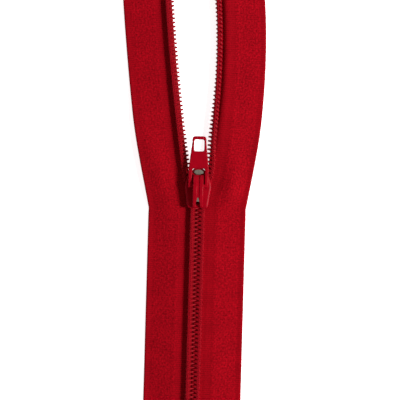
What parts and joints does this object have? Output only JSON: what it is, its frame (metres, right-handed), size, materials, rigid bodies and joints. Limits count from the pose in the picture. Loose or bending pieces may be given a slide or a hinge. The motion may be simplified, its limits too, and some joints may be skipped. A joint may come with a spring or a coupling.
{
  "type": "zipper",
  "caption": "Closed-end nylon coil zipper, half open: two woven tapes, meshed coils, painted auto-lock slider with a flat windowed pull tab.",
  "frame": {"origin": "middle of the whole zipper's footprint, on the surface it lies on", "axes": "+Y along the chain from the bottom stop to the open end, +Z out of the face side, +X across to the right-hand tape seen from the face"},
  "size_m": [0.0388, 0.1524, 0.0061],
  "materials": {
    "tape": "matte woven",
    "coil": "satin",
    "cord": "matte twisted",
    "thread": "matte twisted",
    "slider_paint": "gloss",
    "pull_paint": "gloss",
    "spring_steel": "bare",
    "stop_metal": "bare"
  },
  "bodies": {
    "closed_chain": {"left_tape": "tape", "right_tape": "tape", "left_coil": "coil", "right_coil": "coil", "left_core_cord": "cord", "right_core_cord": "cord", "left_stitching": "thread", "right_stitching": "thread", "bottom_stop": "stop_metal"},
    "left_leg": {"left_leg_tape": "tape", "left_leg_coil": "coil", "left_leg_core_cord": "cord", "left_leg_stitching": "thread", "left_top_stop": "stop_metal"},
    "right_leg": {"right_leg_tape": "tape", "right_leg_coil": "coil", "right_leg_core_cord": "cord", "right_leg_stitching": "thread", "right_top_stop": "stop_metal"},
    "slider": {"slider_body": "slider_paint", "slider_crown": "slider_paint"},
    "pull": {"pull_tab": "pull_paint"},
    "lock": {"lock_spring": "spring_steel"}
  },
  "joints": [
    {"name": "slider_slide", "type": "slide", "parent": "closed_chain", "child": "slider", "axis": [0, 1, 0], "range_m": [-0.0573, 0], "deforming": ["left_tape", "right_tape", "left_coil", "right_coil", "left_core_cord", "right_core_cord", "left_stitching", "right_stitching"]},
    {"name": "pull_swing", "type": "hinge", "parent": "slider", "child": "pull", "pos_m": [0.00321, 0.00129, 0.0046], "axis": [1, 0, 0], "range_deg": [0, 155]},
    {"name": "pawl_lift", "type": "hinge", "parent": "slider", "child": "lock", "pos_m": [0.00321, 0.00479, 0.00413], "axis": [-1, 0, 0], "range_deg": [0, 2], "stiffness_Nm_per_rad": 0.005},
    {"name": "left_leg_spread", "type": "hinge", "parent": "closed_chain", "child": "left_leg", "pos_m": [-0.00054, 0.00567, 0.0016], "axis": [0, 0, 1], "range_deg": [-5, 10]},
    {"name": "right_leg_spread", "type": "hinge", "parent": "closed_chain", "child": "right_leg", "pos_m": [0.00669, 0.00584, 0.0016], "axis": [0, 0, -1], "range_deg": [-4, 10]}
  ]
}
